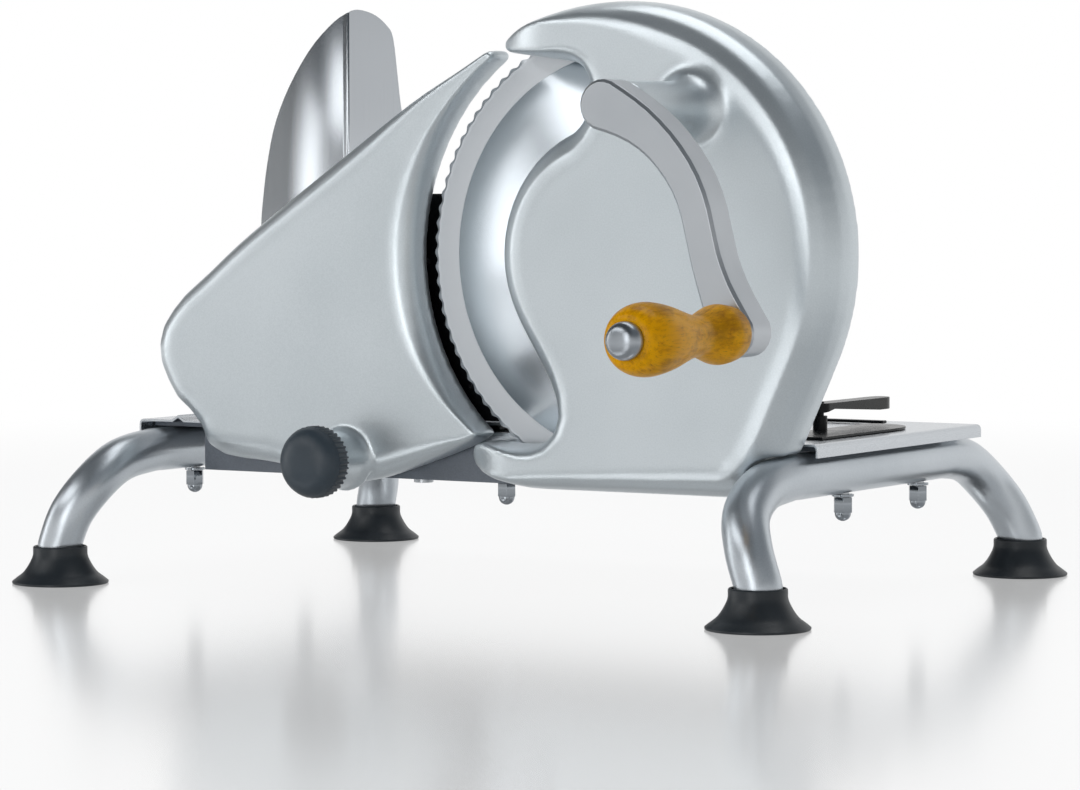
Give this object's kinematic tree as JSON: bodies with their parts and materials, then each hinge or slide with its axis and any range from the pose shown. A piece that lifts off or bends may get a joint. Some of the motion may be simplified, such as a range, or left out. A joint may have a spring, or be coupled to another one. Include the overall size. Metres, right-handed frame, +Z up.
{
  "type": "hand crank meat slicer",
  "caption": "Hand cranked meat slicer: cast housing with a geared round blade, crank with a turned handle, adjustable stop plate, and a sliding carriage with a pusher on a tube base.",
  "frame": {"origin": "centre of the bounding box on the ground under the feet", "axes": "+X along the base to the crank end, +Y from the crank side to the food side, +Z up"},
  "size_m": [0.383, 0.3936, 0.245],
  "materials": {
    "cast_paint": "satin silver paint of fine texture on cast aluminium",
    "tube_paint": "satin silver paint on steel",
    "steel": "brushed or bare steel",
    "polished": "polished",
    "satin_aluminium": "satin",
    "bronze": "sintered bronze",
    "brass": "machined",
    "rubber": "soft sheen",
    "black_plastic": "moulded",
    "grey_plastic": "moulded",
    "wood": "amber lacquer"
  },
  "bodies": {
    "base": {"back_plate_screw_1": "steel", "back_plate_screw_2": "steel", "back_plate_screw_3": "steel", "base_frame": "tube_paint", "base_sheet": "steel", "blade_axle": "steel", "cap_nut_centre": "polished", "cap_nut_left_front": "polished", "cap_nut_left_rear": "polished", "cap_nut_right_front": "polished", "cap_nut_right_rear": "polished", "crank_bush_front": "bronze", "crank_bush_rear": "bronze", "foot_front_left": "rubber", "foot_front_right": "rubber", "foot_rear_left": "rubber", "foot_rear_right": "rubber", "frame_bolt_centre": "steel", "frame_bolt_left_front": "steel", "frame_bolt_left_rear": "steel", "frame_bolt_right_front": "steel", "frame_bolt_right_rear": "steel", "guide_block": "grey_plastic", "guide_block_screw_1": "steel", "guide_block_screw_2": "steel", "guide_nut": "brass", "guide_rail": "black_plastic", "housing": "cast_paint", "housing_back_plate": "steel", "housing_bolt_1": "steel", "housing_bolt_2": "steel", "left_leg_tube": "tube_paint", "right_leg_tube": "tube_paint", "stop_post": "black_plastic", "washer_left_front": "polished", "washer_left_rear": "polished", "washer_right_front": "polished", "washer_right_rear": "polished"},
    "crank": {"crank_shaft": "steel", "crank_pinion": "steel", "shaft_clip": "steel", "crank_arm": "satin_aluminium", "handle_spindle": "steel", "handle_cap": "polished"},
    "handle": {"crank_handle": "wood"},
    "blade_unit": {"blade": "polished", "blade_gear": "steel", "blade_gear_bush": "bronze", "blade_screw": "polished"},
    "stop": {"stop_plate": "cast_paint", "guide_rod_1": "steel", "guide_rod_2": "steel"},
    "knob": {"thickness_screw": "steel", "thickness_knob": "black_plastic"},
    "carriage_unit": {"carriage": "steel", "front_runner": "black_plastic", "rear_runner": "black_plastic"},
    "pusher_unit": {"pusher": "black_plastic", "pusher_grip": "black_plastic"},
    "lever": {"stop_lever": "black_plastic"}
  },
  "joints": [
    {"name": "crank_turn", "type": "hinge", "parent": "base", "child": "crank", "pos_m": [0.12222, -0.0693, 0.2008], "axis": [0, 1, 0], "continuous": true},
    {"name": "handle_spin", "type": "hinge", "parent": "crank", "child": "handle", "pos_m": [0.17825, -0.1513, 0.1154], "axis": [0, 1, 0], "continuous": true},
    {"name": "blade_spin", "type": "hinge", "parent": "base", "child": "blade_unit", "pos_m": [0.08275, -0.0193, 0.1425], "axis": [0, 1, 0], "continuous": true},
    {"name": "stop_plate_slide", "type": "slide", "parent": "base", "child": "stop", "axis": [0, -1, 0], "range_m": [0, 0.015]},
    {"name": "knob_turn", "type": "hinge", "parent": "stop", "child": "knob", "pos_m": [-0.04805, -0.0543, 0.0557], "axis": [0, -1, 0], "range_deg": [0, 330]},
    {"name": "carriage_slide", "type": "slide", "parent": "base", "child": "carriage_unit", "axis": [1, 0, 0], "range_m": [-0.045, 0.105]},
    {"name": "pusher_slide", "type": "slide", "parent": "carriage_unit", "child": "pusher_unit", "axis": [0, 1, 0], "range_m": [0, 0.048]},
    {"name": "lever_turn", "type": "hinge", "parent": "base", "child": "lever", "pos_m": [0.13235, 0.0507, 0.078], "axis": [0, 0, 1], "range_deg": [0, 90]}
  ],
  "couplings": [
    {"joint": "blade_spin", "follows": "crank_turn", "ratio": -0.52381},
    {"joint": "knob_turn", "follows": "stop_plate_slide", "rad_per_m": 383.9}
  ]
}
